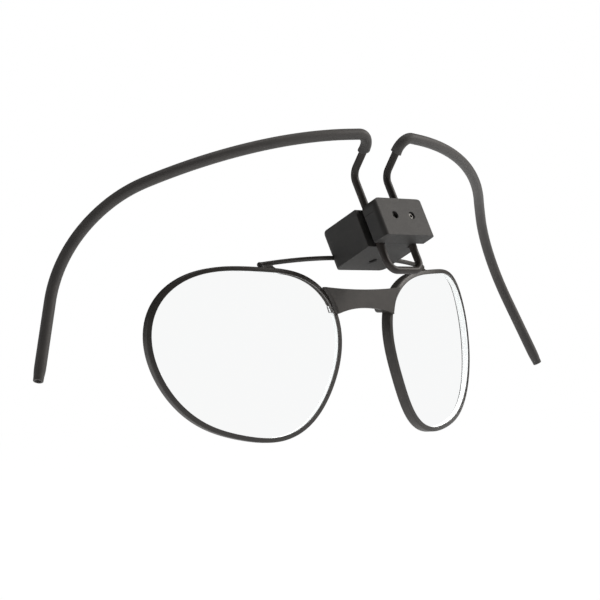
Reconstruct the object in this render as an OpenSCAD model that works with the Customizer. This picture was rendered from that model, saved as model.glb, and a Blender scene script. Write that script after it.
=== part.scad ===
// Spectacle insert for a full-face respirator.
// Origin: centre of the guide bar, the cross bar at the bottom of the spring wire's U.
// +X wearer's left, -Y towards the visor, +Z up with the lens rims upright.

/* [Spring wire] */
// Diameter of the spring wire
wire_d = 2.0; // [1.8:0.1:2.2]
// Distance of each leg of the U from the centre line
leg_x = 6.4; // [6:0.1:7]
// Height of the joggle above the guide bar, along the legs
joggle_h = 25.7; // [25.7:0.1:28]
// Forward lean of the U: its foot stands in front of its top
guide_lean = 23; // [20:1:26]
// Outer diameter of the rubber sleeves
sleeve_d = 2.9; // [2.8:0.1:3.4]
// Length of empty sleeve past each end of the wire
sleeve_overhang = 3; // [2:0.5:5]

/* [Slider] */
// Width of the slider block and its cap
block_w = 19.6; // [18:0.2:22]
// Height of the slider along the legs
block_h = 10.7; // [10:0.1:12]
// Height of the slider's underside above the guide bar, at rest
block_lift = 7.3; // [7:0.1:8]
// Depth of the block from the legs' centre plane to its back
block_back = 14.3; // [14:0.1:15]
// Distance from the legs' centre plane to the cap's front face
cap_front = 5.7; // [5.2:0.1:6.2]

/* [Brow bar] */
// Diameter of the brow bar
bar_d = 1.2; // [1:0.1:1.4]
// Half of the brow bar's span between its rounded ends
bar_half_span = 32.2; // [31.8:0.1:32.6]
// How far the bar's ends sit behind and below its middle
bar_sag = 4.6; // [4.4:0.1:4.8]

/* [Rims and lenses] */
// Mean radius of the rim's centre line
rim_mean_r = 24.7; // [24.4:0.1:24.9]
// Distance of each rim's centre from the centre line
rim_x = 37.7; // [37.5:0.1:37.9]
// Angle that each rim wraps back around the face
rim_wrap = 16.75; // [16.25:0.25:17.25]
// Radius of the sphere that rims and lenses lie on
lens_curve_r = 68; // [66:1:72]
// Width of the rim's section, across the face
rim_w = 1.2; // [1:0.1:1.4]
// Depth of the rim's section, front to back
rim_depth = 2.2; // [2:0.1:2.4]
// Thickness of the lenses
lens_t = 1.8; // [1.6:0.1:2]
// Thickness of the bridge plate
bridge_t = 0.8; // [0.6:0.1:1]

/* [Hidden] */
$fn = 48;

// Each row of the bend list is one step of the wire, outwards from the end of the guide bar:
// [straight length, turn about the wire, bend radius, bend angle].
corner_r = 3;
joggle_r = 4;
BENDS = [[0, 180, corner_r, 90],
         [joggle_h - corner_r, 90, joggle_r, 58],
         [4.8, 0, 0, 0],
         [0.8, 95, 3.6, 97],
         [3, 21, 100, 33.5],
         [0, -70, 38, 16],
         [0, -22, 38, 45]];
LAST_BEND = len(BENDS) - 1;
SLEEVE_START = 3;
tip_straight = 21;
// The sleeves are stretched over the wire; the 0.03 keeps the two solids apart
sleeve_bore_r = wire_d / 2 + 0.03;
// Where two steps meet, a bead this much fatter than the wire joins them
bead = 0.03;

// Slider, in the guide's own axes
leg_gap = 0.05;
face_y = wire_d / 2 + leg_gap;
web_half = leg_x - wire_d / 2 - 0.1;
block_top = block_lift + block_h;
screw_x = 3.3;
screw_z = block_lift + 5.8;
screw_r = 0.5;
screw_head_r = 0.9;
screw_play = 0.1;
head_depth = 1.6;
insert_r = 0.95;
insert_len = 3.5;

// Brow bar and its clip
bar_r = bar_d / 2;
bar_y = block_back - 0.4;
bar_z = block_lift + 3.4;
bar_straight = 5.5;
bar_plane_angle = 22;
groove_play = 0.25;
bar_run = bar_half_span - bar_straight;
bar_bend_r = (bar_run * bar_run + bar_sag * bar_sag) / (2 * bar_sag);
bar_bend_angle = asin(bar_run / bar_bend_r);
clip_w = 6;
clip_bore_r = bar_r + 0.05;
clip_r = clip_bore_r + 0.55;
tongue_t = 0.8;
tongue_tip_y = 6.6;
tongue_w = 5;
clip_screw_y = 8.9;
clip_screw_r = 0.6;
clip_head_r = 1.05;
clip_head_lift = 0.6;
clip_head_h = 0.9;

// Rims, in each rim's own axes: x outwards, y back, z up
rim_y = 18;
rim_z = -19.1;
OUTLINE_STEPS = 72;
groove_t = 0.8;
groove_depth = 0.45;
lens_gap = 0.04;
split_z = 11.1;
split_gap = 0.3;
lock_x = 7.1;
lock_w = 5.9;
lock_y = 15.5;
lock_d = 2.2;
lock_half_h = 1.75;
lock_screw_x = lock_x + 1.2;
lock_screw_y = lock_y + 0.8;
lock_screw_r = 0.3;
lock_head_r = 0.5;
lock_head_h = 0.5;
lock_z = rim_z + split_z;
lock_foot_z = lock_z - split_gap / 2 - lock_half_h;

// Rounded pilot shape of a lens: the radius at angle a from the outer side.
// The terms make it wider than tall, drop its outer corner and square its top.
// The last two fill out its upper corner by the nose and flatten its outer side.
function rim_r(a) = rim_mean_r
    + 2.95 * cos(2 * a) + 0.55 * sin(2 * a)
    + 0.35 * cos(3 * a) + 1.1 * sin(3 * a)
    - 0.25 * cos(4 * a) - 0.25 * sin(4 * a)
    + 0.25 * sin(5 * a)
    + 0.75 * hump((a - 141) / 13)
    - 0.3 * hump((a > 180 ? a - 360 : a) / 25);

function hump(x) = exp(-x * x);

function outline(grow) = [for (i = [0:OUTLINE_STEPS - 1])
    let (a = i * 360 / OUTLINE_STEPS, r = rim_r(a) + grow)
    [r * cos(a), r * sin(a)]];

// Metal, rubber and plastic colours
METAL = [0.22, 0.2, 0.19];
RUBBER = [0.27, 0.26, 0.25];
PLASTIC = [0.16, 0.16, 0.16];
STEEL = [0.55, 0.55, 0.56];
BRASS = [0.75, 0.62, 0.35];
CLEAR = [0.85, 0.9, 0.92, 0.35];

module in_guide() {
    rotate([-guide_lean, 0, 0]) children();
}

// Moves its children from the start of one step to the start of the next
module after(row) {
    translate([0, 0, row[0]]) rotate([0, 0, row[1]])
        translate([row[2] * (1 - cos(row[3])), 0, row[2] * sin(row[3])])
            rotate([0, row[3], 0]) children();
}

// One step of the bend list: the straight, then the bend, with a bead at each joint
module step(row, r, lead) {
    if (row[0] + lead > 0) translate([0, 0, -lead]) cylinder(r = r, h = row[0] + lead);
    if (row[3] > 0)
        translate([0, 0, row[0]]) rotate([0, 0, row[1]]) {
            sphere(r = r + bead);
            translate([row[2], 0, 0]) rotate([90, 0, 180])
                rotate_extrude(angle = row[3]) translate([row[2], 0]) circle(r = r);
        }
    after(row) sphere(r = r + bead);
}

// Draws every step from first on, then a last straight; lead starts the first one early
module run(first, r, tip, lead = 0, i = 0) {
    if (i > LAST_BEND) {
        cylinder(r = r, h = tip);
    } else {
        if (i >= first) step(BENDS[i], r, i == first ? lead : 0);
        after(BENDS[i]) run(first, r, tip, lead, i + 1);
    }
}

// Places its children at the right end of the guide bar, heading outwards
module at_bar_end() {
    in_guide() translate([leg_x - corner_r, 0, 0]) rotate([0, 90, 0]) children();
}

module spring_wire() {
    bar = leg_x - corner_r;
    color(METAL) {
        in_guide() translate([-bar, 0, 0]) rotate([0, 90, 0]) cylinder(r = wire_d / 2, h = 2 * bar);
        for (s = [0, 1]) mirror([s, 0, 0])
            at_bar_end() run(0, wire_d / 2, tip_straight - sleeve_overhang);
    }
}

module sleeve_right() {
    color(RUBBER) at_bar_end() difference() {
        run(SLEEVE_START, sleeve_d / 2, tip_straight);
        run(SLEEVE_START, sleeve_bore_r, tip_straight + 1, 1);
    }
}

module sleeve_left() {
    mirror([1, 0, 0]) sleeve_right();
}

// Rectangle with two rounded corners at its far end
module rounded_end(w, near, far, r) {
    translate([-w / 2, near]) square([w, far - near - r]);
    translate([-w / 2 + r, near]) square([w - 2 * r, far - near]);
    for (s = [-1, 1]) translate([s * (w / 2 - r), far - r]) circle(r = r);
}

module screw_places() {
    for (s = [-1, 1]) translate([s * screw_x, 0, screw_z]) children();
}

module block_body() {
    corner = 2;
    edge = 2.2;
    difference() {
        translate([0, 0, block_lift]) linear_extrude(height = block_h)
            rounded_end(block_w, face_y, block_back, corner);
        // rounded upper back edge
        translate([-block_w, block_back - edge, block_top - edge]) difference() {
            cube([2 * block_w, 2 * edge, 2 * edge]);
            translate([-1, 0, 0]) rotate([0, 90, 0]) cylinder(r = edge, h = 2 * block_w + 2);
        }
    }
    translate([-web_half, -face_y, block_lift]) cube([2 * web_half, 2 * face_y + 1, block_h]);
}

module slider_block() {
    play = 0.1;
    knuckle = clip_r + play;
    pocket_w = clip_w + 2 * play;
    slot_w = tongue_w + play;
    color(PLASTIC) in_guide() difference() {
        block_body();
        // groove that the brow bar turns in
        translate([-block_w, bar_y, bar_z]) rotate([0, 90, 0])
            cylinder(r = bar_r + groove_play, h = 2 * block_w);
        // pocket of the clip's knuckle and slot of its tongue
        translate([-pocket_w / 2, bar_y - knuckle, bar_z - knuckle])
            cube([pocket_w, 2 * knuckle + 1, 2 * knuckle]);
        translate([-slot_w / 2, tongue_tip_y - play, bar_z - (tongue_t + play) / 2])
            cube([slot_w, bar_y - tongue_tip_y, tongue_t + play]);
        // clip screw: head recess in the underside, then its thread
        translate([0, clip_screw_y, block_lift - 1])
            cylinder(r = clip_head_r + play, h = 1 + clip_head_lift + clip_head_h + play);
        translate([0, clip_screw_y, block_lift]) cylinder(r = clip_screw_r + 0.02, h = 8);
        // seats of the brass inserts, and the screws' clearance past them
        screw_places() rotate([-90, 0, 0]) translate([0, 0, -face_y - 1])
            cylinder(r = insert_r + 0.01, h = 1.3 + insert_len);
        screw_places() rotate([-90, 0, 0]) cylinder(r = screw_r + screw_play, h = 6);
    }
}

module clamp_cap() {
    corner = 1.3;
    top_corner = 2;
    color(PLASTIC) in_guide() difference() {
        intersection() {
            translate([0, 0, block_lift]) linear_extrude(height = block_h) mirror([0, 1])
                rounded_end(block_w, face_y, cap_front, corner);
            rotate([90, 0, 0]) linear_extrude(height = 2 * cap_front)
                rounded_end(block_w, block_lift, block_lift + block_h, top_corner);
        }
        screw_places() rotate([90, 0, 0]) cylinder(r = screw_r + screw_play, h = 2 * cap_front);
        screw_places() rotate([90, 0, 0]) translate([0, 0, cap_front - head_depth])
            cylinder(r = screw_head_r + screw_play, h = 2 * head_depth);
    }
}

module cap_screws() {
    head_h = 0.9;
    head_y = cap_front - head_depth;
    in_block = 4.4;
    socket_r = 0.4;
    socket_floor = 0.4;
    color(STEEL) in_guide() screw_places() rotate([90, 0, 0]) difference() {
        union() {
            translate([0, 0, -in_block]) cylinder(r = screw_r, h = in_block + head_y);
            translate([0, 0, head_y]) cylinder(r = screw_head_r, h = head_h);
        }
        translate([0, 0, head_y + socket_floor]) cylinder(r = socket_r, h = head_h, $fn = 6);
    }
}

module cap_inserts() {
    color(BRASS) in_guide() screw_places() rotate([-90, 0, 0])
        translate([0, 0, -face_y + 0.1]) difference() {
            cylinder(r = insert_r, h = insert_len);
            translate([0, 0, -1]) cylinder(r = screw_r + 0.01, h = insert_len + 2);
        }
}

module bar_clip() {
    color(STEEL) in_guide() difference() {
        union() {
            translate([-clip_w / 2, bar_y, bar_z]) rotate([0, 90, 0])
                cylinder(r = clip_r, h = clip_w);
            translate([-tongue_w / 2, tongue_tip_y, bar_z - tongue_t / 2])
                cube([tongue_w, bar_y - tongue_tip_y, tongue_t]);
        }
        translate([-clip_w, bar_y, bar_z]) rotate([0, 90, 0])
            cylinder(r = clip_bore_r, h = 2 * clip_w);
        translate([0, clip_screw_y, bar_z - 2]) cylinder(r = clip_screw_r + 0.05, h = 4);
    }
}

module clip_screw() {
    length = 6.6;
    socket_r = 0.5;
    socket_depth = 0.5;
    color(STEEL) in_guide() translate([0, clip_screw_y, block_lift + clip_head_lift]) difference() {
        union() {
            cylinder(r = clip_head_r, h = clip_head_h);
            cylinder(r = clip_screw_r, h = length);
        }
        translate([0, 0, -1]) cylinder(r = socket_r, h = 1 + socket_depth, $fn = 6);
    }
}

// Places its children at the middle of the brow bar, upright
module at_bar() {
    y = bar_y * cos(guide_lean) + bar_z * sin(guide_lean);
    z = bar_z * cos(guide_lean) - bar_y * sin(guide_lean);
    translate([0, y, z]) children();
}

// Outer part of the bar on the right: one long bend, back and down, with a rounded end
module bar_arm() {
    translate([bar_straight, 0, 0]) rotate([0, 90, 0])
        step([0, 90 - bar_plane_angle, bar_bend_r, bar_bend_angle], bar_r, 0);
}

module brow_bar() {
    color(METAL) at_bar() {
        translate([-bar_straight, 0, 0]) rotate([0, 90, 0]) cylinder(r = bar_r, h = 2 * bar_straight);
        for (s = [0, 1]) mirror([s, 0, 0]) bar_arm();
    }
}

module in_rim() {
    translate([rim_x, rim_y, rim_z]) rotate([0, 0, rim_wrap]) children();
}

// Part of the sphere shell inside an outline, thick t, about the rims' middle surface
module curved_sheet(points, t) {
    intersection() {
        translate([0, 10, 0]) rotate([90, 0, 0]) linear_extrude(height = 13) polygon(points);
        translate([0, lens_curve_r, 0]) difference() {
            sphere(r = lens_curve_r + t / 2, $fn = 128);
            sphere(r = lens_curve_r - t / 2, $fn = 128);
        }
    }
}

module rim_solid() {
    difference() {
        curved_sheet(outline(rim_w / 2), rim_depth);
        translate([0, 10, 0]) rotate([90, 0, 0]) linear_extrude(height = 14)
            polygon(outline(-rim_w / 2));
    }
}

module rim_right() {
    color(METAL) in_rim() difference() {
        rim_solid();
        curved_sheet(outline(groove_depth - rim_w / 2), groove_t);
        // the rim is split between the two halves of its lock
        translate([-40, -5, split_z - split_gap / 2]) cube([30, 20, split_gap]);
    }
}

module rim_left() {
    mirror([1, 0, 0]) rim_right();
}

module lens_right() {
    color(CLEAR) in_rim() {
        curved_sheet(outline(-rim_w / 2 - lens_gap), lens_t);
        curved_sheet(outline(groove_depth - rim_w / 2 - lens_gap), groove_t - 0.1);
    }
}

module lens_left() {
    mirror([1, 0, 0]) lens_right();
}

module bridge_plate() {
    half_w = 15.6;
    top_z = -3.3;
    foot_z = -10.5;
    top_dip = 0.7;
    arch_rise = 1.65;
    arch_half = 11.2;
    tilt = 6.3;
    top_r = half_w * half_w / (2 * top_dip);
    arch_r = (arch_half * arch_half + arch_rise * arch_rise) / (2 * arch_rise);
    mid_z = (top_z + foot_z) / 2;
    color(METAL) difference() {
        translate([0, 15.2, mid_z]) rotate([-tilt, 0, 0]) rotate([90, 0, 0])
            linear_extrude(height = bridge_t) translate([0, -mid_z]) difference() {
                translate([-half_w, foot_z]) square([2 * half_w, top_z - foot_z]);
                translate([0, top_z - top_dip + top_r]) circle(r = top_r, $fn = 256);
                translate([0, foot_z + arch_rise - arch_r]) circle(r = arch_r, $fn = 128);
            }
        for (s = [0, 1]) mirror([s, 0, 0]) in_rim() {
            rim_solid();
            translate([0, 10, 0]) rotate([90, 0, 0]) linear_extrude(height = 20)
                polygon(outline(-rim_w / 2));
        }
    }
}

// Foot brazed round the brow bar's end and the rim's top edge
module bar_foot_right() {
    foot = [3.8, 1.7, 1.5];
    foot_at = [28.6, 19.5, 1.3];
    color(METAL) translate(foot_at) cube(foot);
}

module bar_foot_left() {
    mirror([1, 0, 0]) bar_foot_right();
}

// Two blocks brazed to the rim's ends, above and below its split
module lock_right() {
    color(METAL) difference() {
        for (z = [lock_foot_z, lock_z + split_gap / 2])
            translate([lock_x, lock_y, z]) cube([lock_w, lock_d, lock_half_h]);
        in_rim() rim_solid();
        in_rim() translate([0, 10, 0]) rotate([90, 0, 0]) linear_extrude(height = 20)
            polygon(outline(-rim_w / 2));
        translate([lock_screw_x, lock_screw_y, lock_foot_z - 1])
            cylinder(r = lock_screw_r + 0.02, h = 2 * lock_half_h + 2);
        translate([lock_screw_x, lock_screw_y, lock_foot_z - 1])
            cylinder(r = lock_head_r + 0.02, h = 1 + lock_head_h);
    }
}

module lock_left() {
    mirror([1, 0, 0]) lock_right();
}

module lock_screws() {
    color(STEEL) for (s = [-1, 1]) translate([s * lock_screw_x, lock_screw_y, lock_foot_z]) {
        cylinder(r = lock_screw_r, h = 2 * lock_half_h);
        cylinder(r = lock_head_r, h = lock_head_h - 0.02);
    }
}

spring_wire();
sleeve_left();
sleeve_right();
slider_block();
clamp_cap();
cap_screws();
cap_inserts();
bar_clip();
clip_screw();
brow_bar();
bar_foot_left();
bar_foot_right();
bridge_plate();
rim_left();
rim_right();
lens_left();
lens_right();
lock_left();
lock_right();
lock_screws();
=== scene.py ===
from math import asin, ceil, cos, exp, pi, radians, sin, sqrt

import bmesh
import bpy
from mathutils import Matrix, Vector


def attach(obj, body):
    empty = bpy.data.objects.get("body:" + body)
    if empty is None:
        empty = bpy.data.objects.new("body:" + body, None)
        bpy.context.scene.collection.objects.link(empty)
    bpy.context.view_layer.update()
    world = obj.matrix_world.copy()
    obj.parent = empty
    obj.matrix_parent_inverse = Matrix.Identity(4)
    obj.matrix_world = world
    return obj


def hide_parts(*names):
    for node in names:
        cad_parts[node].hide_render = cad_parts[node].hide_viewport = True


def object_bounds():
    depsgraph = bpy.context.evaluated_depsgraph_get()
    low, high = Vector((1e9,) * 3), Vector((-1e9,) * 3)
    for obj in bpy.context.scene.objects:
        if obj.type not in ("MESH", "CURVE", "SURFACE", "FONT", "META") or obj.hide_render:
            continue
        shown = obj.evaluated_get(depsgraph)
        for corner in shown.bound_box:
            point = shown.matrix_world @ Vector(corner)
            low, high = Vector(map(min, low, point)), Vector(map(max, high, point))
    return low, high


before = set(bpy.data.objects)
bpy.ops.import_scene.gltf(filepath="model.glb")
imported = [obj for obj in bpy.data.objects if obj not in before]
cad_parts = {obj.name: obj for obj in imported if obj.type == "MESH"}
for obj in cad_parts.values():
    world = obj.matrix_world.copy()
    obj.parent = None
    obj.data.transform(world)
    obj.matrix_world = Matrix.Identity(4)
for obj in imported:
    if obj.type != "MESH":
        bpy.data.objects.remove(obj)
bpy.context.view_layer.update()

# Pieces are made in millimetres, in the row frame: +X wearer's left, -Y towards the visor, +Z up.
# Those of the guide and the slider are made in the guide's own axes, which lean forward.
MM = 0.001

# ---------------------------------------------------------------- sizes, as in the CAD source
WIRE_R = 1.0
LEG_X = 6.4
CORNER_R = 3.0
JOGGLE_H = 25.7
GUIDE_LEAN = 23.0
SLEEVE_R = 1.45
BORE_R = 1.03
TIP_STRAIGHT = 21.0
OVERHANG = 3.0
# One row for each step of the wire: straight length, turn about the wire, bend radius, bend angle
BENDS = [
    (0, 180, CORNER_R, 90),
    (JOGGLE_H - CORNER_R, 90, 4, 58),
    (4.8, 0, 0, 0),
    (0.8, 95, 3.6, 97),
    (3, 21, 100, 33.5),
    (0, -70, 38, 16),
    (0, -22, 38, 45),
]
SLEEVE_START = 3

BLOCK_W = 19.6
BLOCK_LIFT = 7.3
BLOCK_H = 10.7
BLOCK_BACK = 14.3
CAP_FRONT = 5.7
FACE_Y = 1.05
WEB_HALF = 5.3
SCREW_X = 3.3
SCREW_Z = BLOCK_LIFT + 5.8
HEAD_DEPTH = 1.6

BAR_R = 0.6
BAR_STRAIGHT = 5.5
BAR_HALF_SPAN = 32.2
BAR_SAG = 4.6
BAR_PLANE = 22.0
BAR_Y = BLOCK_BACK - 0.4
BAR_Z = BLOCK_LIFT + 3.4
CLIP_SCREW_Y = 8.9

RIM_X, RIM_Y, RIM_Z = 37.7, 18.0, -19.1
RIM_WRAP = 16.75
RIM_W = 1.2
RIM_DEPTH = 2.2
GROOVE_DEPTH = 0.45
LENS_CURVE_R = 68.0
LENS_T = 1.8
SPLIT_Z = 11.1
SPLIT_GAP = 0.3
LOCK_X, LOCK_W = 7.1, 5.9
LOCK_Y, LOCK_D = 15.5, 2.2
LOCK_HALF = 1.75
LOCK_Z = RIM_Z + SPLIT_Z
LOCK_SCREW = (LOCK_X + 1.2, LOCK_Y + 0.8)

GUIDE = Matrix.Rotation(radians(-GUIDE_LEAN), 4, "X")
MIRROR = Matrix.Diagonal((-1, 1, 1, 1))
IN_RIM = Matrix.Translation((RIM_X, RIM_Y, RIM_Z)) @ Matrix.Rotation(radians(RIM_WRAP), 4, "Z")
SIDES = {"right": Matrix.Identity(4), "left": MIRROR}


def hump(x):
    return exp(-x * x)


def rim_r(a):
    """Radius of the rim's centre line at angle a from the outer side, in degrees."""
    t = radians(a)
    return (24.7 + 2.95 * cos(2 * t) + 0.55 * sin(2 * t) + 0.35 * cos(3 * t) + 1.1 * sin(3 * t)
            - 0.25 * cos(4 * t) - 0.25 * sin(4 * t) + 0.25 * sin(5 * t)
            + 0.75 * hump((a - 141) / 13) - 0.3 * hump(((a + 180) % 360 - 180) / 25))


# ---------------------------------------------------------------- camera, light and floor
def add_camera():
    azimuth, elevation, roll = radians(-47.281), radians(-2.490), radians(-2.768)
    target = Vector((-4.83, 33.19, -5.50)) * MM
    distance = 590 * MM
    forward = Vector((-sin(azimuth) * cos(elevation), cos(azimuth) * cos(elevation), -sin(elevation)))
    level = Vector((cos(azimuth), sin(azimuth), 0))
    right = level * cos(roll) + level.cross(forward) * sin(roll)
    up = right.cross(forward)
    data = bpy.data.cameras.new("camera")
    data.sensor_width = 36
    data.lens = 133.1
    data.clip_start = 0.01
    data.clip_end = 100
    camera = bpy.data.objects.new("camera", data)
    turn = Matrix((right, up, -forward)).transposed().to_4x4()
    camera.matrix_world = Matrix.Translation(target - forward * distance) @ turn
    bpy.context.scene.collection.objects.link(camera)
    bpy.context.scene.camera = camera


def add_area(name, towards, distance, size, power, colour=(1, 1, 1)):
    """Square soft light, seen from the object in the direction given."""
    data = bpy.data.lights.new(name, "AREA")
    data.size = size
    data.energy = power
    data.color = colour
    light = bpy.data.objects.new(name, data)
    where = Vector(towards).normalized()
    turn = where.to_track_quat("Z", "Y").to_matrix().to_4x4()
    light.matrix_world = Matrix.Translation(where * distance) @ turn
    light.visible_camera = False
    bpy.context.scene.collection.objects.link(light)


def camera_mix(nt, seen, lighting):
    """Strength that is one thing where it is looked at and another where it lights the object."""
    path = nt.nodes.new("ShaderNodeLightPath")
    looked_at = nt.nodes.new("ShaderNodeMath")
    looked_at.operation = "MAXIMUM"
    strength = nt.nodes.new("ShaderNodeMapRange")
    strength.inputs["To Min"].default_value = lighting
    strength.inputs["To Max"].default_value = seen
    nt.links.new(path.outputs["Is Camera Ray"], looked_at.inputs[0])
    nt.links.new(path.outputs["Is Transmission Ray"], looked_at.inputs[1])
    nt.links.new(looked_at.outputs[0], strength.inputs["Value"])
    return strength.outputs[0]


def add_world():
    """White studio: paper white where it is looked at, dimmer where it lights the object."""
    world = bpy.data.worlds.new("studio")
    world.use_nodes = True
    bpy.context.scene.world = world
    nt = world.node_tree
    nt.links.new(camera_mix(nt, 1.0, WORLD_LIGHT), nt.nodes["Background"].inputs["Strength"])
    nt.nodes["Background"].inputs["Color"].default_value = (1, 1, 1, 1)


def add_floor():
    """Pale floor a little below the object, lit from inside like a light table."""
    drop, radius, sides = 0.030, 3.0, 64
    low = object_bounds()[0].z - drop
    mesh = bpy.data.meshes.new("floor")
    edge = [(radius * cos(2 * pi * i / sides), radius * sin(2 * pi * i / sides), low) for i in range(sides)]
    mesh.from_pydata(edge, [], [tuple(range(sides))])
    mat = bpy.data.materials.new("floor_paper")
    mat.use_nodes = True
    shader = mat.node_tree.nodes["Principled BSDF"]
    shader.inputs["Base Color"].default_value = (0.02, 0.02, 0.02, 1)
    shader.inputs["Roughness"].default_value = 0.9
    shader.inputs["Specular IOR Level"].default_value = 0.0
    shader.inputs["Emission Color"].default_value = (1, 1, 1, 1)
    mat.node_tree.links.new(camera_mix(mat.node_tree, 1.0, FLOOR_LIGHT), shader.inputs["Emission Strength"])
    mesh.materials.append(mat)
    floor = bpy.data.objects.new("floor", mesh)
    bpy.context.scene.collection.objects.link(floor)


WORLD_LIGHT = 0.03
FLOOR_LIGHT = 0.85
bpy.context.scene.view_settings.view_transform = "Standard"
add_camera()
add_world()
add_area("key", (0.85, -0.5, 0.55), 0.9, 0.4, 4.3, (1.0, 0.96, 0.92))
add_area("top", (0.1, 0.0, 1.0), 0.9, 0.4, 2.2, (1.0, 0.98, 0.96))
add_area("side", (-0.95, 0.8, 0.2), 0.9, 0.5, 0.7, (0.96, 0.98, 1.0))
add_floor()


# ---------------------------------------------------------------- materials
def new_material(name, colour, roughness, specular=0.5, metallic=0.0):
    mat = bpy.data.materials.new(name)
    mat.use_nodes = True
    nt = mat.node_tree
    shader = nt.nodes["Principled BSDF"]
    shader.inputs["Base Color"].default_value = (*colour, 1)
    shader.inputs["Roughness"].default_value = roughness
    shader.inputs["Specular IOR Level"].default_value = specular
    shader.inputs["Metallic"].default_value = metallic
    return mat, nt, shader


def noise(nt, grain_mm, detail=3.0, stretch=(1, 1, 1)):
    """Noise with grains of about the size given, fixed to the piece."""
    where = nt.nodes.new("ShaderNodeTexCoord")
    mapping = nt.nodes.new("ShaderNodeMapping")
    mapping.inputs["Scale"].default_value = stretch
    made = nt.nodes.new("ShaderNodeTexNoise")
    made.inputs["Scale"].default_value = 1 / (grain_mm * MM)
    made.inputs["Detail"].default_value = detail
    nt.links.new(where.outputs["Object"], mapping.inputs["Vector"])
    nt.links.new(mapping.outputs[0], made.inputs["Vector"])
    return made.outputs["Fac"]


def spread(nt, source, low, high):
    """Source, from 0.3 to 0.7, spread over low to high."""
    made = nt.nodes.new("ShaderNodeMapRange")
    made.inputs["From Min"].default_value = 0.3
    made.inputs["From Max"].default_value = 0.7
    made.inputs["To Min"].default_value = low
    made.inputs["To Max"].default_value = high
    nt.links.new(source, made.inputs["Value"])
    return made.outputs[0]


def blend_colours(nt, factor, first, second):
    made = nt.nodes.new("ShaderNodeMix")
    made.data_type = "RGBA"
    made.inputs["A"].default_value = (*first, 1)
    made.inputs["B"].default_value = (*second, 1)
    nt.links.new(factor, made.inputs["Factor"])
    return made.outputs["Result"]


def add_bump(nt, shader, layers):
    """Stacks bumps: each layer is (height, strength, depth in millimetres)."""
    normal = None
    for height, strength, depth in layers:
        bump = nt.nodes.new("ShaderNodeBump")
        bump.inputs["Strength"].default_value = strength
        bump.inputs["Distance"].default_value = depth * MM
        nt.links.new(height, bump.inputs["Height"])
        if normal:
            nt.links.new(normal, bump.inputs["Normal"])
        normal = bump.outputs[0]
    nt.links.new(normal, shader.inputs["Normal"])


def spring_steel():
    """Hard-drawn wire under a thin brown-black lacquer, rubbed a little here and there."""
    mat, nt, shader = new_material("spring_steel_lacquered", (0.036, 0.031, 0.028), 0.46, 0.35)
    patches = noise(nt, 2.5)
    grain = noise(nt, 0.12)
    nt.links.new(blend_colours(nt, spread(nt, patches, 0, 1), (0.030, 0.025, 0.022), (0.044, 0.037, 0.033)),
                 shader.inputs["Base Color"])
    nt.links.new(spread(nt, grain, 0.40, 0.56), shader.inputs["Roughness"])
    add_bump(nt, shader, [(grain, 0.25, 0.02), (patches, 0.2, 0.05)])
    return mat


def sleeve_rubber():
    """Charcoal tube with the dull skin of extruded rubber."""
    mat, nt, shader = new_material("sleeve_rubber_extruded", (0.064, 0.059, 0.056), 0.6)
    patches = noise(nt, 6)
    skin = noise(nt, 0.35)
    grain = noise(nt, 0.08)
    nt.links.new(blend_colours(nt, spread(nt, patches, 0, 1), (0.057, 0.053, 0.051), (0.073, 0.067, 0.062)),
                 shader.inputs["Base Color"])
    nt.links.new(spread(nt, skin, 0.54, 0.7), shader.inputs["Roughness"])
    shader.inputs["Sheen Weight"].default_value = 0.12
    shader.inputs["Sheen Roughness"].default_value = 0.5
    add_bump(nt, shader, [(grain, 0.35, 0.02), (skin, 0.25, 0.04)])
    return mat


def black_plastic():
    """Moulded plastic with a fine spark-eroded grain."""
    mat, nt, shader = new_material("slider_plastic_moulded", (0.030, 0.028, 0.026), 0.62)
    patches = noise(nt, 4)
    grain = noise(nt, 0.16, 2)
    nt.links.new(blend_colours(nt, spread(nt, patches, 0, 1), (0.026, 0.025, 0.024), (0.035, 0.033, 0.030)),
                 shader.inputs["Base Color"])
    nt.links.new(spread(nt, grain, 0.52, 0.7), shader.inputs["Roughness"])
    add_bump(nt, shader, [(grain, 0.4, 0.03), (patches, 0.15, 0.05)])
    return mat


def frame_metal():
    """Metal under satin brown-black paint, with the paint's fine orange peel."""
    mat, nt, shader = new_material("frame_metal_painted", (0.042, 0.037, 0.033), 0.46)
    patches = noise(nt, 3)
    peel = noise(nt, 0.3)
    nt.links.new(blend_colours(nt, spread(nt, patches, 0, 1), (0.036, 0.032, 0.029), (0.049, 0.043, 0.038)),
                 shader.inputs["Base Color"])
    nt.links.new(spread(nt, peel, 0.38, 0.52), shader.inputs["Roughness"])
    add_bump(nt, shader, [(peel, 0.25, 0.03), (noise(nt, 0.07), 0.15, 0.01)])
    return mat


def screw_steel():
    """Blackened steel, brighter where a driver has turned it."""
    mat, nt, shader = new_material("screw_steel_blackened", (0.06, 0.058, 0.056), 0.38, metallic=0.8)
    patches = noise(nt, 0.6)
    nt.links.new(blend_colours(nt, spread(nt, patches, 0, 1), (0.05, 0.048, 0.046), (0.11, 0.105, 0.1)),
                 shader.inputs["Base Color"])
    nt.links.new(spread(nt, noise(nt, 0.15), 0.3, 0.5), shader.inputs["Roughness"])
    add_bump(nt, shader, [(noise(nt, 0.1), 0.3, 0.01)])
    return mat


def insert_brass():
    mat, nt, shader = new_material("insert_brass_turned", (0.55, 0.4, 0.17), 0.32, metallic=1.0)
    patches = noise(nt, 0.5)
    nt.links.new(blend_colours(nt, spread(nt, patches, 0, 1), (0.46, 0.32, 0.13), (0.6, 0.45, 0.2)),
                 shader.inputs["Base Color"])
    nt.links.new(spread(nt, noise(nt, 0.1), 0.26, 0.42), shader.inputs["Roughness"])
    add_bump(nt, shader, [(noise(nt, 0.08), 0.3, 0.01)])
    return mat


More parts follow.
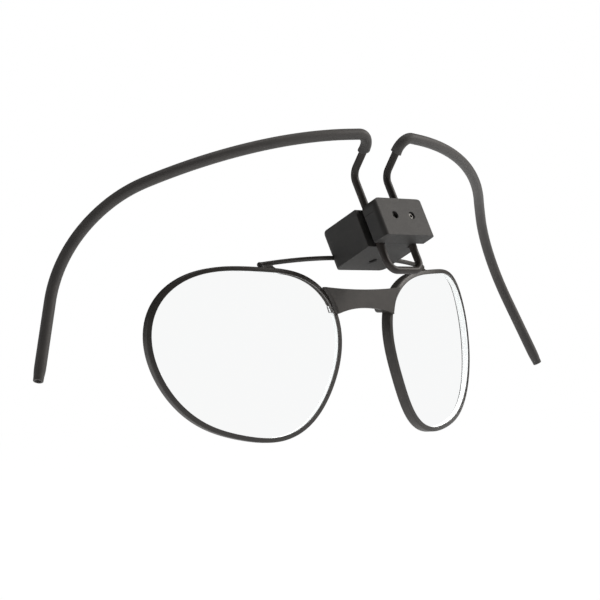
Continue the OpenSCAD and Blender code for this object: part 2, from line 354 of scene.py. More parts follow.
def lens_clear():
    """Clear lens, with the faint unevenness of a wiped surface."""
    mat, nt, shader = new_material("lens_clear_polished", (0.935, 0.94, 0.94), 0.02)
    shader.inputs["Transmission Weight"].default_value = 1.0
    shader.inputs["IOR"].default_value = 1.003
    nt.links.new(spread(nt, noise(nt, 9), 0.0, 0.03), shader.inputs["Roughness"])
    add_bump(nt, shader, [(noise(nt, 14), 0.02, 0.02)])
    return mat


MATERIALS = {
    "spring_steel": spring_steel(),
    "sleeve_rubber": sleeve_rubber(),
    "black_plastic": black_plastic(),
    "frame_metal": frame_metal(),
    "screw_steel": screw_steel(),
    "insert_brass": insert_brass(),
    "lens_clear": lens_clear(),
}


# ---------------------------------------------------------------- mesh tools
def new_object(name, verts, faces):
    mesh = bpy.data.meshes.new(name)
    mesh.from_pydata([tuple(v) for v in verts], [], faces)
    mesh.validate()
    made = bpy.data.objects.new(name, mesh)
    bpy.context.scene.collection.objects.link(made)
    bm = bmesh.new()
    bm.from_mesh(mesh)
    bmesh.ops.recalc_face_normals(bm, faces=bm.faces)
    bm.to_mesh(mesh)
    bm.free()
    return made


def place(obj, body, slot, nodes=(), where=Matrix.Identity(4)):
    """Puts a piece made in millimetres into the frame: where, body, finish and CAD nodes."""
    obj.data.transform(Matrix.Scale(MM, 4) @ where)
    if where.determinant() < 0:
        obj.data.flip_normals()
    obj.data.materials.clear()
    obj.data.materials.append(MATERIALS[slot])
    for face in obj.data.polygons:
        face.use_smooth = True
    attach(obj, body)
    if nodes:
        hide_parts(*nodes)
    return obj


def loft(name, rings, wrap=False):
    """Skin over rings of equal length. The ends are closed, or joined to each other if wrap."""
    n = len(rings[0])
    verts = [v for ring in rings for v in ring]
    faces = []
    spans = len(rings) if wrap else len(rings) - 1
    for i in range(spans):
        a, b = i * n, (i + 1) % len(rings) * n
        faces += [(a + j, a + (j + 1) % n, b + (j + 1) % n, b + j) for j in range(n)]
    if not wrap:
        faces += [tuple(reversed(range(n))), tuple(range(len(verts) - n, len(verts)))]
    return new_object(name, verts, faces)


def apply_modifiers(obj):
    bpy.context.view_layer.update()
    seen = obj.evaluated_get(bpy.context.evaluated_depsgraph_get())
    mesh = bpy.data.meshes.new_from_object(seen)
    obj.modifiers.clear()
    obj.data = mesh


def combine(obj, other, operation):
    """Boolean of two meshes; the second is used up."""
    mod = obj.modifiers.new("combine", "BOOLEAN")
    mod.operation = operation
    mod.solver = "EXACT"
    mod.object = other
    apply_modifiers(obj)
    bpy.data.objects.remove(other)


def soften(obj, width, segments=3, angle=50):
    """Rounds the sharp edges."""
    mod = obj.modifiers.new("soften", "BEVEL")
    mod.width = width
    mod.segments = segments
    mod.limit_method = "ANGLE"
    mod.angle_limit = radians(angle)
    apply_modifiers(obj)


def even_normals(obj):
    """Lets flat faces shade flat beside rounded edges."""
    for face in obj.data.polygons:
        face.use_smooth = True
    obj.data.set_sharp_from_angle(angle=radians(40))
    mod = obj.modifiers.new("normals", "WEIGHTED_NORMAL")
    mod.keep_sharp = True
    apply_modifiers(obj)


def box(name, low, high):
    verts = [(x, y, z) for z in (low[2], high[2]) for y in (low[1], high[1]) for x in (low[0], high[0])]
    faces = [(0, 2, 3, 1), (4, 5, 7, 6), (0, 1, 5, 4), (2, 6, 7, 3), (0, 4, 6, 2), (1, 3, 7, 5)]
    return new_object(name, verts, faces)


def round_edges(obj, chosen, radius, segments=10):
    """Rounds the edges of a mesh that chosen(low, high) picks by their end points."""
    bm = bmesh.new()
    bm.from_mesh(obj.data)
    edges = [e for e in bm.edges if chosen(e.verts[0].co, e.verts[1].co)]
    bmesh.ops.bevel(bm, geom=edges, offset=radius, offset_type="OFFSET", segments=segments,
                    profile=0.5, affect="EDGES")
    bm.to_mesh(obj.data)
    bm.free()


def lathe(name, profile, axis=Matrix.Identity(4), segments=48):
    """Solid of revolution about Z from (radius, height) points, from the axis back to the axis."""
    inner = profile[1:-1]
    rings = [[Vector((r * cos(2 * pi * j / segments), r * sin(2 * pi * j / segments), z))
              for j in range(segments)] for r, z in inner]
    verts = [v for ring in rings for v in ring]
    verts += [Vector((0, 0, profile[0][1])), Vector((0, 0, profile[-1][1]))]
    faces = []
    for i in range(len(rings) - 1):
        a, b = i * segments, (i + 1) * segments
        faces += [(a + j, a + (j + 1) % segments, b + (j + 1) % segments, b + j) for j in range(segments)]
    last = (len(rings) - 1) * segments
    first_pole, last_pole = len(verts) - 2, len(verts) - 1
    faces += [(first_pole, (j + 1) % segments, j) for j in range(segments)]
    faces += [(last_pole, last + j, last + (j + 1) % segments) for j in range(segments)]
    made = new_object(name, verts, faces)
    made.data.transform(axis)
    return made


def drill(obj, radius, length, axis, segments=48):
    """Cuts a round hole, from the start of the axis along it."""
    profile = [(0, 0), (radius, 0), (radius, length), (0, length)]
    combine(obj, lathe("drill", profile, axis, segments), "DIFFERENCE")


def transport(points):
    """A point, its heading and two directions across it at each step of a path, without twist."""
    headings = []
    for i in range(len(points)):
        before, after = points[max(i - 1, 0)], points[min(i + 1, len(points) - 1)]
        headings.append((after - before).normalized())
    across = headings[0].orthogonal().normalized()
    made = []
    for point, heading in zip(points, headings):
        across = (across - heading * across.dot(heading)).normalized()
        made.append((point, heading, across, heading.cross(across)))
    return made


def lengths(points):
    total, made = 0.0, [0.0]
    for a, b in zip(points, points[1:]):
        total += (b - a).length
        made.append(total)
    return made


def circle_ring(station, radius, count):
    """Ring about one step of a path; radius is a number or a function of the direction."""
    point, _, side, up = station
    ring = []
    for j in range(count):
        direction = side * cos(2 * pi * j / count) + up * sin(2 * pi * j / count)
        r = radius(direction) if callable(radius) else radius
        ring.append(point + direction * r)
    return ring


# ---------------------------------------------------------------- spring wire and sleeves
def wire_path(first, tip, finest=1.2):
    """Centre line of the wire's right half, from the start of one step to the tip."""
    m = Matrix.Translation((LEG_X - CORNER_R, 0, 0)) @ Matrix.Rotation(radians(90), 4, "Y")
    points = []
    for i, (length, turn, radius, angle) in enumerate(BENDS):
        count = ceil(length / finest)
        if i >= first:
            points += [m @ Vector((0, 0, length * k / count)) for k in range(count)]
        m = m @ Matrix.Translation((0, 0, length)) @ Matrix.Rotation(radians(turn), 4, "Z")
        if angle:
            count = ceil(radians(angle) * radius / min(finest, radius * radians(5)))
            for k in range(count):
                t = radians(angle) * k / count
                if i >= first:
                    points.append(m @ Vector((radius * (1 - cos(t)), 0, radius * sin(t))))
            t = radians(angle)
            m = m @ Matrix.Translation((radius * (1 - cos(t)), 0, radius * sin(t)))
            m = m @ Matrix.Rotation(t, 4, "Y")
    count = ceil(tip / finest)
    points += [m @ Vector((0, 0, tip * k / count)) for k in range(count + 1)]
    return points


def rounded_tip(radius, edge, count=5):
    """Radii and places of the last rings of a rod whose end has a rounded edge."""
    made = []
    for k in range(1, count + 1):
        t = pi / 2 * k / count
        made.append((edge * sin(t), radius - edge * (1 - cos(t))))
    return made


def rod_rings(points, radius, edge, count):
    """Rings of a solid rod along a path, with rounded edges at both ends."""
    stations = transport(points)
    rings = [circle_ring(s, radius, count) for s in stations]
    for end, sign in ((0, -1), (-1, 1)):
        point, heading, side, up = stations[end]
        start = point - heading * sign * edge
        extra = []
        for reach, r in rounded_tip(radius, edge):
            extra.append(circle_ring((start + heading * sign * reach, heading, side, up), r, count))
        if end == 0:
            rings[0] = circle_ring((start, heading, side, up), radius, count)
            rings = extra[::-1] + rings
        else:
            rings[-1] = circle_ring((start, heading, side, up), radius, count)
            rings += extra
    return rings


def make_wire():
    half = wire_path(0, TIP_STRAIGHT - OVERHANG)
    bar = LEG_X - CORNER_R
    middle = [Vector((bar * k / 3, 0, 0)) for k in (-2, -1, 0, 1, 2)]
    left = [MIRROR @ p for p in reversed(half)]
    wire = loft("wire_formed", rod_rings(left + middle + half, WIRE_R, 0.25, 32))
    place(wire, "guide", "spring_steel", ("spring_wire",), GUIDE)


def smooth_step(x):
    x = min(max(x, 0.0), 1.0)
    return x * x * (3 - 2 * x)


def make_sleeve(side):
    """Rubber tube pushed over the wire: it flares at its cut end, wrinkles inside the tight
    bend, and shrinks to its own smaller size past the wire's tip."""
    count = 40
    flare, flare_len = 0.07, 0.7
    slant, slant_len = (0.62 if side == "left" else 0.25), 2.6
    shrink, bore_shrink = 0.2, 0.27
    edge = 0.16
    fold, fold_step = 0.07, 0.8
    straight, _, bend_r, bend_angle = BENDS[SLEEVE_START]
    bend_len = radians(bend_angle) * bend_r
    points = wire_path(SLEEVE_START, TIP_STRAIGHT)
    # finer steps through the tight bend, where the wrinkles are
    fine = []
    for a, b in zip(points, points[1:]):
        parts = 4 if lengths([points[0], a])[-1] < straight + bend_len + 2 else 1
        fine += [a.lerp(b, k / parts) for k in range(parts)]
    points = fine + [points[-1]]
    along = lengths(points)
    total = along[-1]
    stations = transport(points)
    # towards the centre of the tight bend
    first, last = stations[0][1], transport(wire_path(SLEEVE_START + 1, 1))[0][1]
    inside = (last - first * first.dot(last)).normalized()

    def outer(s):
        necked = smooth_step((s - total + OVERHANG + 0.4) / OVERHANG)
        return SLEEVE_R + flare * exp(-((s / flare_len) ** 2)) - shrink * necked

    def bore(s):
        necked = smooth_step((s - total + OVERHANG) / (OVERHANG - 1))
        return BORE_R + 0.6 * flare * exp(-((s / flare_len) ** 2)) - bore_shrink * necked

    def wrinkled(s, station):
        within = smooth_step((s - straight) / 1.0) * smooth_step((straight + bend_len + 0.6 - s) / 1.2)
        wave = 0.5 - 0.5 * cos(2 * pi * (s - straight) / fold_step)
        heading = station[1]
        inward = (inside - heading * heading.dot(inside)) if within else inside
        if inward.length > 0.2:
            inward = inward.normalized()
        turned = (first - heading * heading.dot(first)) * -1
        towards = (inward + turned).normalized() if (inward + turned).length > 0.2 else inward

        def radius(direction):
            facing = max(0.0, direction.dot(towards))
            return outer(s) - fold * within * wave * facing ** 2
        return radius

    def slanted(ring, s):
        """Leans the rings near the cut end, so that its outer side is the longer one."""
        point, heading, _, _ = stations[0]
        outside = Vector((1, 0, 0)) - heading * heading.x
        fade = 1 - smooth_step(s / slant_len)
        return [p - heading * slant * (outside.dot(p - point) / SLEEVE_R) * fade for p in ring]

    def ring_at(station, radius, s):
        return slanted(circle_ring(station, radius, count), s)

    # outside, from the cut end to the tip, with rounded edges
    cut, tip = stations[0], stations[-1]
    corner = [pi / 2 * k / 5 for k in range(6)]
    body = [(s, st) for s, st in zip(along, stations) if edge * 1.05 < s < total - edge * 1.05]
    rings = [ring_at(shifted(cut, edge * (1 - cos(t))), outer(0) - edge * (1 - sin(t)), 0) for t in corner]
    rings += [ring_at(st, wrinkled(s, st), s) for s, st in body]
    rings += [circle_ring(shifted(tip, -edge * (1 - sin(t))), outer(total) - edge * (1 - cos(t)), count)
              for t in corner]
    # the bore, back to the cut end
    lip = 0.08
    corner = [pi / 2 * k / 3 for k in range(4)]
    rings += [circle_ring(shifted(tip, -lip * (1 - cos(t))), bore(total) + lip * (1 - sin(t)), count)
              for t in corner]
    rings += [ring_at(st, bore(s), s) for s, st in reversed(body)]
    rings += [ring_at(shifted(cut, lip * (1 - sin(t))), bore(0) + lip * (1 - cos(t)), 0) for t in corner]
    sleeve = loft("sleeve_tube_" + side, rings, wrap=True)
    place(sleeve, "guide", "sleeve_rubber", ("sleeve_" + side,), GUIDE @ SIDES[side])


def shifted(station, distance):
    point, heading, across, up = station
    return point + heading * distance, heading, across, up


make_wire()
for side in SIDES:
    make_sleeve(side)


# ---------------------------------------------------------------- slider
def screw_axis(x, z):
    """Height along -Y, towards the front, from the legs' centre plane."""
    return Matrix.Translation((x, 0, z)) @ Matrix.Rotation(radians(90), 4, "X")


def make_block():
    back_r, edge = 2.1, 0.18
    top = BLOCK_LIFT + BLOCK_H
    half = BLOCK_W / 2
    block = box("slider_body", (-half, FACE_Y, BLOCK_LIFT), (half, BLOCK_BACK, top))

    def back_edge(a, b):
        at_back = a.y > BLOCK_BACK - 0.01 and b.y > BLOCK_BACK - 0.01
        return at_back and (abs(a.x - b.x) < 0.01 or (a.z > top - 0.01 and b.z > top - 0.01))
    round_edges(block, back_edge, back_r)
    soften(block, edge)
    web = box("web", (-WEB_HALF, -FACE_Y, BLOCK_LIFT), (WEB_HALF, FACE_Y + 1, top))
    soften(web, 0.15)
    combine(block, web, "UNION")
    # groove that the brow bar turns in, and the pocket of the clip's knuckle
    across = Matrix.Translation((-BLOCK_W, BAR_Y, BAR_Z)) @ Matrix.Rotation(radians(90), 4, "Y")
    groove_play = 0.25
    drill(block, BAR_R + groove_play, 2 * BLOCK_W, across)
    half_w, reach = 3.1, 1.3
    pocket = box("pocket", (-half_w, BAR_Y - reach, BAR_Z - reach), (half_w, BAR_Y + 2, BAR_Z + reach))
    combine(block, pocket, "DIFFERENCE")
    half_w, half_h, slot_front = 2.55, 0.45, 6.5
    slot = box("tongue_slot", (-half_w, slot_front, BAR_Z - half_h), (half_w, BAR_Y, BAR_Z + half_h))
    combine(block, slot, "DIFFERENCE")
    # recess of the clip screw, in the underside, with a broken edge
    up = Matrix.Translation((0, CLIP_SCREW_Y, BLOCK_LIFT))
    head_r, head_depth, shank_r, depth = 1.15, 1.6, 0.62, 8
    recess = [(0, -1), (2.4, -1), (head_r, 0.2), (head_r, head_depth), (shank_r, head_depth),
              (shank_r, depth), (0, depth)]
    combine(block, lathe("recess", recess, up), "DIFFERENCE")
    even_normals(block)
    place(block, "slider", "black_plastic", ("slider_block",), GUIDE)


def make_cap():
    front_r, top_r, edge = 1.3, 2.1, 0.3
    hole_r, shank_r, chamfer = 1.0, 0.6, 0.12
    line_z, line_w, line_depth = BLOCK_LIFT + 7.2, 0.16, 0.1
    top = BLOCK_LIFT + BLOCK_H
    half = BLOCK_W / 2
    cap = box("cap_body", (-half, -CAP_FRONT, BLOCK_LIFT), (half, -FACE_Y, top))

    def front_upright(a, b):
        return a.y < 0.01 - CAP_FRONT and b.y < 0.01 - CAP_FRONT and abs(a.z - b.z) > 1

    def top_side(a, b):
        return a.z > top - 0.01 and b.z > top - 0.01 and abs(a.x - b.x) < 0.01
    round_edges(cap, top_side, top_r)
    upright = box("uprights", (-half, -CAP_FRONT, BLOCK_LIFT - 1), (half, FACE_Y, top + 1))
    round_edges(upright, front_upright, front_r)
    combine(cap, upright, "INTERSECT")
    soften(cap, edge)
    # parting line left by the mould
    for x in (-half, half):
        line = box("line", (x - line_depth, front_r - CAP_FRONT, line_z),
                   (x + line_depth, 0, line_z + line_w))
        combine(cap, line, "DIFFERENCE")
    for side in (-1, 1):
        mouth, seat = CAP_FRONT, CAP_FRONT - HEAD_DEPTH
        hole = [(0, 0), (shank_r, 0), (shank_r, seat), (hole_r, seat), (hole_r, mouth - chamfer),
                (hole_r + 1, mouth + 1 - chamfer), (0, mouth + 1 - chamfer)]
        combine(cap, lathe("hole", hole, screw_axis(side * SCREW_X, SCREW_Z)), "DIFFERENCE")
    even_normals(cap)
    place(cap, "slider", "black_plastic", ("clamp_cap",), GUIDE)


def socket_screw(name, head_r, head_h, shank_r, shank_len, axis, hex_r):
    """Screw with a rounded head and a hexagon socket; height 0 is under the head."""
    edge = 0.15
    rounding = [(head_r - edge * (1 - cos(t)), head_h - edge * (1 - sin(t)))
                for t in (pi / 2 * k / 4 for k in range(5))]
    pitch, depth = 0.25, 0.06
    thread = []
    turns = int((shank_len - 0.4) / pitch)
    for k in range(turns):
        z = -shank_len + 0.3 + k * pitch
        thread += [(shank_r - depth, z), (shank_r, z + pitch / 2)]
    profile = [(0, -shank_len), (shank_r - 0.2, -shank_len)] + thread
    profile += [(shank_r, -0.05), (shank_r, 0), (head_r, 0)] + rounding + [(0, head_h)]
    screw = lathe(name, profile, segments=36)
    socket = lathe("socket", [(0, head_h - 0.5), (hex_r, head_h - 0.5), (hex_r, head_h + 1), (0, head_h + 1)],
                   segments=6)
    combine(screw, socket, "DIFFERENCE")
    screw.data.transform(axis)
    even_normals(screw)
    return screw


def join(name, pieces):
    """One mesh of several separate solids."""
    bm = bmesh.new()
    for piece in pieces:
        bm.from_mesh(piece.data)
        bpy.data.objects.remove(piece)
    mesh = bpy.data.meshes.new(name)
    bm.to_mesh(mesh)
    bm.free()
    made = bpy.data.objects.new(name, mesh)
    bpy.context.scene.collection.objects.link(made)
    return made


def make_cap_screws():
    made = []
    for side in (-1, 1):
        # the right one stands a little higher
        lift = 0.3 if side > 0 else 0
        axis = screw_axis(side * SCREW_X, SCREW_Z) @ Matrix.Translation((0, 0, CAP_FRONT - HEAD_DEPTH + lift))
        made.append(socket_screw("screw", 0.9, 0.9, 0.5, 8.4, axis, 0.45))
    place(join("cap_screw_pair", made), "slider", "screw_steel", ("cap_screws",), GUIDE)


def make_inserts():
    """Brass inserts with knurled bands, pressed into the block."""
    outer_r, bore_r, length, flutes, depth = 0.95, 0.51, 3.5, 24, 0.07
    count = 2 * flutes
    # (distance from the front, 1 where the knurl is)
    bands = [(0, 0), (0.1, 0), (0.15, 1), (1.4, 1), (1.5, 0),
             (2.0, 0), (2.1, 1), (3.4, 1), (3.45, 0), (length, 0)]
    made = []
    for side in (-1, 1):
        start = Vector((side * SCREW_X, -FACE_Y + 0.1, SCREW_Z))

        def ring(y, radii):
            return [start + Vector((r * cos(2 * pi * j / count), y, r * sin(2 * pi * j / count)))
                    for j, r in enumerate(radii)]
        rings = [ring(y, [outer_r - depth + depth * knurl * (j % 2) for j in range(count)])
                 for y, knurl in bands]
        rings += [ring(y, [bore_r] * count) for y in (length, 0)]
        made.append(loft("insert", rings, wrap=True))
    place(join("brass_insert_pair", made), "slider", "insert_brass", ("cap_inserts",), GUIDE)


def make_clip():
    """Strap rolled round the brow bar, its tongue held in the block by a screw."""
    bore_r = BAR_R + 0.05
    strap = 0.55
    out_r = bore_r + strap
    half = 3.0
    tongue_tip, tongue_half = 6.6, 0.4
    roll = 30
    meet = asin(tongue_half / out_r)
    outline = []
    for k in range(roll + 1):
        t = -pi + meet + k * (2 * pi - 2 * meet) / roll
        outline.append((out_r * cos(t), out_r * sin(t)))
    outline += [(tongue_tip - BAR_Y, tongue_half), (tongue_tip - BAR_Y, -tongue_half)]
    rings = [[Vector((x, BAR_Y + y, BAR_Z + z)) for y, z in outline] for x in (-half, half)]
    clip = loft("clip_strap", rings)
    soften(clip, 0.1, 2)
    along = Matrix.Translation((-5, BAR_Y, BAR_Z)) @ Matrix.Rotation(radians(90), 4, "Y")
    drill(clip, bore_r, 10, along)
    up = Matrix.Translation((0, CLIP_SCREW_Y, BAR_Z - 2))
    drill(clip, 0.65, 4, up)
    narrower = 0.5
    for side in (-1, 1):
        # the tongue is narrower than the knuckle
        step = box("step", (side * half - narrower, tongue_tip - 1, BAR_Z - 1),
                   (side * half + narrower, BAR_Y - out_r, BAR_Z + 1))
        combine(clip, step, "DIFFERENCE")
    even_normals(clip)
    place(clip, "slider", "screw_steel", ("bar_clip",), GUIDE)


def make_clip_screw():
    head_h = 0.9
    axis = Matrix.Translation((0, CLIP_SCREW_Y, BLOCK_LIFT + 0.6 + head_h)) @ Matrix.Rotation(pi, 4, "X")
    screw = socket_screw("clip_screw_socket", 1.05, head_h, 0.6, 5.7, axis, 0.5)
    place(screw, "slider", "screw_steel", ("clip_screw",), GUIDE)


make_block()
make_cap()
make_cap_screws()
make_inserts()
make_clip()
make_clip_screw()


# ---------------------------------------------------------------- brow bar
BAR_MIDDLE = GUIDE @ Vector((0, BAR_Y, BAR_Z))
BAR_RUN = BAR_HALF_SPAN - BAR_STRAIGHT
BAR_BEND_R = (BAR_RUN ** 2 + BAR_SAG ** 2) / (2 * BAR_SAG)
BAR_SIDEWAYS = Vector((0, cos(radians(BAR_PLANE)), -sin(radians(BAR_PLANE))))


def bar_point(x):
    """Centre of the brow bar at a distance from its middle."""
    out = max(abs(x) - BAR_STRAIGHT, 0.0)
    sag = BAR_BEND_R - sqrt(BAR_BEND_R ** 2 - out ** 2)
    return BAR_MIDDLE + Vector((x, 0, 0)) + BAR_SIDEWAYS * sag


def make_bar():
    count, knob = 32, 0.1
    points = [bar_point(BAR_HALF_SPAN * k / 32) for k in range(-32, 33)]
    stations = transport(points)
    rings = [circle_ring(station, BAR_R, count) for station in stations]
    for end, sign in ((0, -1), (-1, 1)):
        # a slightly swollen, rounded end
        extra = []
        for k in range(9):
            t = -0.5 + (pi / 2 + 0.5) * k / 8 * 0.985
            r = (BAR_R + knob) * cos(t)
            extra.append(circle_ring(shifted(stations[end], sign * (BAR_R + knob) * sin(t)), r, count))
        rings = extra[::-1] + rings[1:] if end == 0 else rings[:-1] + extra
    place(loft("brow_bar_bent", rings), "front", "frame_metal", ("brow_bar",))


make_bar()


# ---------------------------------------------------------------- rims and lenses
def sphere_y(r, offset=0.0):
    """Distance back of the rims' sphere, or of one offset from it, at a radius from its axis."""
    return LENS_CURVE_R - sqrt((LENS_CURVE_R + offset) ** 2 - r * r)


def on_sphere(p, offset=0.0):
    """Puts a flat point on the rims' sphere, or on one offset from it."""
    return Vector((p.x, sphere_y(sqrt(p.x ** 2 + p.z ** 2), offset), p.z))


def rim_station(a):
    """Centre, heading and outward normal of the rim's centre line, in the rim's own axes."""
    def at(angle):
        r = rim_r(angle)
        return Vector((r * cos(radians(angle)), 0, r * sin(radians(angle))))
    here = at(a)
    heading = (at(a + 0.5) - at(a - 0.5)).normalized()
    outward = Vector((heading.z, 0, -heading.x))
    return here, heading, outward


def split_angle(z):
    """Angle on the nose side where the rim's centre line is at a height."""
    low, high = 120.0, 190.0
    for _ in range(40):
        middle = (low + high) / 2
        if rim_r(middle) * sin(radians(middle)) > z:
            low = middle
        else:
            high = middle
    return low


def rim_section():
    """Channel section as (outward, back) points, with rounded corners and the lens groove."""
    w, d = RIM_W / 2, RIM_DEPTH / 2
    corners = [(1, 1, 0, 0.3), (-1, 1, 90, 0.3), (-1, -1, 180, 0.1), (1, -1, 270, 0.22)]
    points = []
    for out, back, start, r in corners:
        for k in range(5):
            t = radians(start + 90 * k / 4)
            points.append((out * (w - r) + r * cos(t), back * (d - r) + r * sin(t)))
        if start == 90:
            # groove in the inner side
            points += [(-w, 0.42), (-w + 0.08, 0.36), (-w + GROOVE_DEPTH, 0.12), (-w + GROOVE_DEPTH, -0.12),
                       (-w + 0.08, -0.36), (-w, -0.42)]
    return points


def make_rim(side):
    steps = 180
    upper = split_angle(SPLIT_Z + SPLIT_GAP / 2)
    lower = split_angle(SPLIT_Z - SPLIT_GAP / 2)
    section = rim_section()
    rings = []
    for i in range(steps + 1):
        a = lower + (360 - (lower - upper)) * i / steps
        here, _, outward = rim_station(a)
        ring = []
        for out, back in section:
            p = here + outward * out
            r = sqrt(p.x ** 2 + p.z ** 2)
            scale = 1 / sqrt(1 - (r / LENS_CURVE_R) ** 2)
            ring.append(Vector((p.x, sphere_y(r) + back * scale, p.z)))
        rings.append(ring)
    place(loft("rim_channel_" + side, rings), "front", "frame_metal", ("rim_" + side,), SIDES[side] @ IN_RIM)


def frosted_edge_painted_glow():
    """Frosted edge left by the grinding wheel, with a painted glow added to its colour."""
    mat, nt, shader = new_material("lens_ground_edge_painted_glow", (0.9, 0.92, 0.92), 0.7)
    grain = noise(nt, 0.1)
    nt.links.new(spread(nt, grain, 0.6, 0.8), shader.inputs["Roughness"])
    # painted glow: a little emission, in place of the light that comes through the lens
    shader.inputs["Emission Color"].default_value = (1, 1, 1, 1)
    shader.inputs["Emission Strength"].default_value = 0.15
    add_bump(nt, shader, [(grain, 0.3, 0.02)])
    return mat


FROSTED_EDGE_PAINTED_GLOW = frosted_edge_painted_glow()


def make_lens(side):
    """Curved lens with a bevelled edge that sits in the rim's groove."""
    steps, rings_in = 144, 14
    inset, apex = RIM_W / 2 + 0.01, 0.4
    chamfer = 0.06
    half = LENS_T / 2
    # (inset from the rim's centre line, offset forwards from the middle of the lens)
    edge = [(inset + chamfer, half), (inset, half - chamfer), (inset, 0.42), (inset - apex, 0.06),
            (inset - apex, -0.06), (inset, -0.42), (inset, chamfer - half), (inset + chamfer, -half)]
    outline = [rim_station(360 * i / steps) for i in range(steps)]
    verts, rows = [], []

    def add_row(inward, forwards, share=1.0):
        """Points this far inside the rim's centre line, drawn in to a share of their distance."""
        rows.append(range(len(verts), len(verts) + steps))
        verts.extend(on_sphere((here - outward * inward) * share, forwards) for here, _, outward in outline)
    shares = [sin(pi / 2 * k / rings_in) for k in range(1, rings_in)]
    for share in shares:
        add_row(inset + chamfer, half, share)
    for inward, forwards in edge:
        add_row(inward, forwards)
    for share in reversed(shares):
        add_row(inset + chamfer, -half, share)
    faces = []
    for a, b in zip(rows, rows[1:]):
        faces += [(a[j], a[(j + 1) % steps], b[(j + 1) % steps], b[j]) for j in range(steps)]
    for row, forwards in ((rows[0], half), (rows[-1], -half)):
        pole = len(verts)
        verts.append(on_sphere(Vector((0, 0, 0)), forwards))
        faces += [(row[j], row[(j + 1) % steps], pole) for j in range(steps)]
    lens = new_object("lens_meniscus_" + side, verts, faces)
    place(lens, "front", "lens_clear", ("lens_" + side,), SIDES[side] @ IN_RIM)
    lens.visible_shadow = False
    lens.data.set_sharp_from_angle(angle=radians(20))
    # the frosted edge with its painted glow, from the start of the bevel to the back corner
    lens.data.materials.append(FROSTED_EDGE_PAINTED_GLOW)
    first = (rings_in + 1) * steps
    for face in lens.data.polygons[first:first + (len(edge) - 3) * steps]:
        face.material_index = 1


for side in SIDES:
    make_rim(side)
    make_lens(side)


# ---------------------------------------------------------------- bridge plate
BRIDGE_Y = 15.2
BRIDGE_T = 0.8
BRIDGE_TILT = 6.3
BRIDGE_TOP, BRIDGE_FOOT = -3.3, -10.5
BRIDGE_MID = (BRIDGE_TOP + BRIDGE_FOOT) / 2
BRIDGE = Matrix.Translation((0, BRIDGE_Y, BRIDGE_MID)) @ Matrix.Rotation(radians(-BRIDGE_TILT), 4, "X")


def inner_edge(a):
    """Front inner edge of the right rim, in the row frame."""
    here, _, outward = rim_station(a)
    p = here - outward * (RIM_W / 2 - 0.1)
    r = sqrt(p.x ** 2 + p.z ** 2)
    return IN_RIM @ Vector((p.x, sphere_y(r) - RIM_DEPTH / 2, p.z))


def make_bridge():
    """Plate with a dipped top and an arched foot; its ends follow the rims' inner edges."""
    half_w, dip, rise, arch_half = 15.6, 0.7, 1.65, 11.2
    top_r = half_w ** 2 / (2 * dip)
    arch_r = (arch_half ** 2 + rise ** 2) / (2 * rise)

    def top_z(x):
        return BRIDGE_TOP - dip + top_r - sqrt(top_r ** 2 - x * x)

    def foot_z(x):
        if abs(x) >= arch_half:
            return BRIDGE_FOOT
        return BRIDGE_FOOT + rise - arch_r + sqrt(arch_r ** 2 - x * x)
    # where the rim's inner edge runs, from the plate's foot to its top
    edge = [BRIDGE.inverted() @ inner_edge(a) for a in range(176, 120, -1)]
    edge = [(p.x, p.z + BRIDGE_MID) for p in edge]
    clear = 0.25
    end = [(x, z) for x, z in edge if BRIDGE_FOOT + clear < z < top_z(min(x, half_w)) - clear]
    foot_x, top_x = end[0][0], end[-1][0]

    def outline(y, inset):
        """Ring at a depth, its two ends drawn in."""
        low, high = foot_x - inset, top_x - inset
        foot = [(low * k / 16, foot_z(low * k / 16)) for k in range(-15, 17)]
        top = [(high * k / 16, top_z(high * k / 16)) for k in range(16, -17, -1)]
        ends = [(x - inset, z) for x, z in end]
        ring = foot + ends + top + [(-x, z) for x, z in reversed(ends)]
        return [Vector((x, y, z - BRIDGE_MID)) for x, z in ring]
    # the back is flat, and the ends roll over towards the front
    roll, steps, square, step_back = 0.95, 6, 0.2, 0.08
    rings = [outline(0, 0)]
    for k in range(steps + 1):
        t = pi / 2 * k / steps
        y = step_back - BRIDGE_T + (BRIDGE_T - square) * (1 - sin(t)) - step_back * (k > 0)
        rings.append(outline(y, roll * (1 - cos(t))))
    plate = loft("bridge_stamped", rings)
    soften(plate, 0.16, 3)
    even_normals(plate)
    place(plate, "front", "frame_metal", ("bridge_plate",), BRIDGE)


make_bridge()


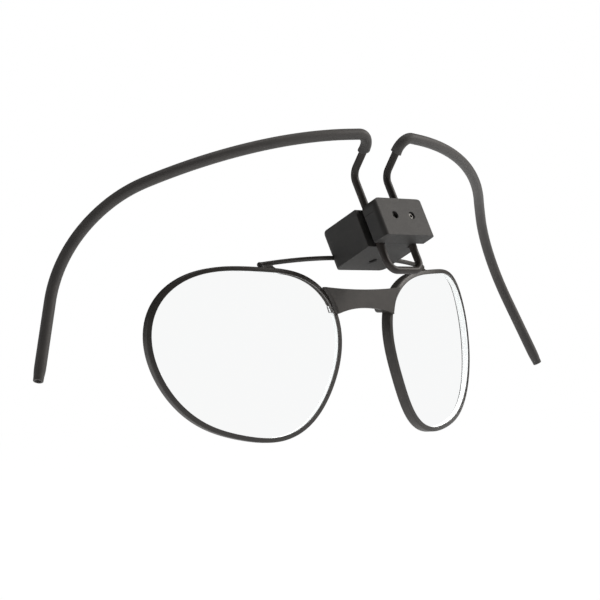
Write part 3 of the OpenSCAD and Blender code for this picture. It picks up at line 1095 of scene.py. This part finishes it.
# ---------------------------------------------------------------- brazed feet and locks
def make_foot(side):
    """Braze that fills the corner between the brow bar's end and the rim's top."""
    length, stations, rows = 4.2, 14, 9
    waist, thin, flare = 0.9, 0.42, 0.35
    x_end = BAR_HALF_SPAN + 0.1

    def rim_top(x):
        """Middle of the rim's upper side at a distance from the centre line."""
        low, high = 60.0, 130.0
        for _ in range(40):
            middle = (low + high) / 2
            here, _, outward = rim_station(middle)
            p = here + outward * (RIM_W / 2 - 0.15)
            point = IN_RIM @ on_sphere(p)
            if point.x > x:
                low = middle
            else:
                high = middle
        return point
    front, back = [], []
    for i in range(stations + 1):
        share = i / stations
        f_row, b_row = [], []
        for j in range(rows + 1):
            h = j / rows
            hollow = waist * (1 - (2 * h - 1) ** 2)
            start = x_end - length + hollow
            x = start + (x_end - start) * share
            a, b = rim_top(x), bar_point(x)
            middle = a.lerp(b, h)
            thick = thin + flare * (2 * h - 1) ** 4
            fade = min(1.0, 0.25 + 3 * min(share, 1 - share + 0.1))
            f_row.append(middle + Vector((0, -thick * fade, 0)))
            b_row.append(middle + Vector((0, thick * fade, 0)))
        front.append(f_row)
        back.append(b_row)
    foot = loft("bar_braze_" + side, [f_row + b_row[::-1] for f_row, b_row in zip(front, back)])
    place(foot, "front", "frame_metal", ("bar_foot_" + side,), SIDES[side])


def inside_rim():
    """Prism through the rim's inner outline, to trim what would show through the lens."""
    outline = [here - outward * (RIM_W / 2) for here, _, outward in (rim_station(3 * i) for i in range(120))]
    prism = loft("inside", [[Vector((p.x, y, p.z)) for p in outline] for y in (-15, 15)])
    prism.data.transform(IN_RIM)
    return prism


def make_lock(side):
    """Two small blocks brazed to the rim's ends, drawn together by a screw."""
    made = []
    foot = LOCK_Z - SPLIT_GAP / 2 - LOCK_HALF
    for low in (foot, LOCK_Z + SPLIT_GAP / 2):
        far = low if low == foot else low + LOCK_HALF
        block = box("half", (LOCK_X, LOCK_Y, low), (LOCK_X + LOCK_W, LOCK_Y + LOCK_D, low + LOCK_HALF))

        def nose_side(a, b):
            return a.x < LOCK_X + 0.01 and b.x < LOCK_X + 0.01 and abs(a.z - far) + abs(b.z - far) < 0.01
        round_edges(block, nose_side, 1.2, 8)
        soften(block, 0.2)
        bore = Matrix.Translation((*LOCK_SCREW, LOCK_Z - 3))
        drill(block, 0.32, 6, bore, 24)
        seat = Matrix.Translation((*LOCK_SCREW, foot - 1))
        drill(block, 0.55, 1.5, seat, 24)
        combine(block, inside_rim(), "DIFFERENCE")
        even_normals(block)
        made.append(block)
    place(join("rim_lock_" + side, made), "front", "frame_metal", ("lock_" + side,), SIDES[side])


def make_lock_screws():
    made = []
    for side in SIDES.values():
        foot = LOCK_Z - LOCK_HALF - SPLIT_GAP / 2
        axis = Matrix.Translation((*LOCK_SCREW, foot + 0.5)) @ Matrix.Rotation(pi, 4, "X")
        screw = socket_screw("screw", 0.5, 0.45, 0.3, 3.0, axis, 0.25)
        if side.determinant() < 0:
            screw.data.transform(side)
            screw.data.flip_normals()
        made.append(screw)
    place(join("lock_screw_pair", made), "front", "screw_steel", ("lock_screws",))


for side in SIDES:
    make_foot(side)
    make_lock(side)
make_lock_screws()
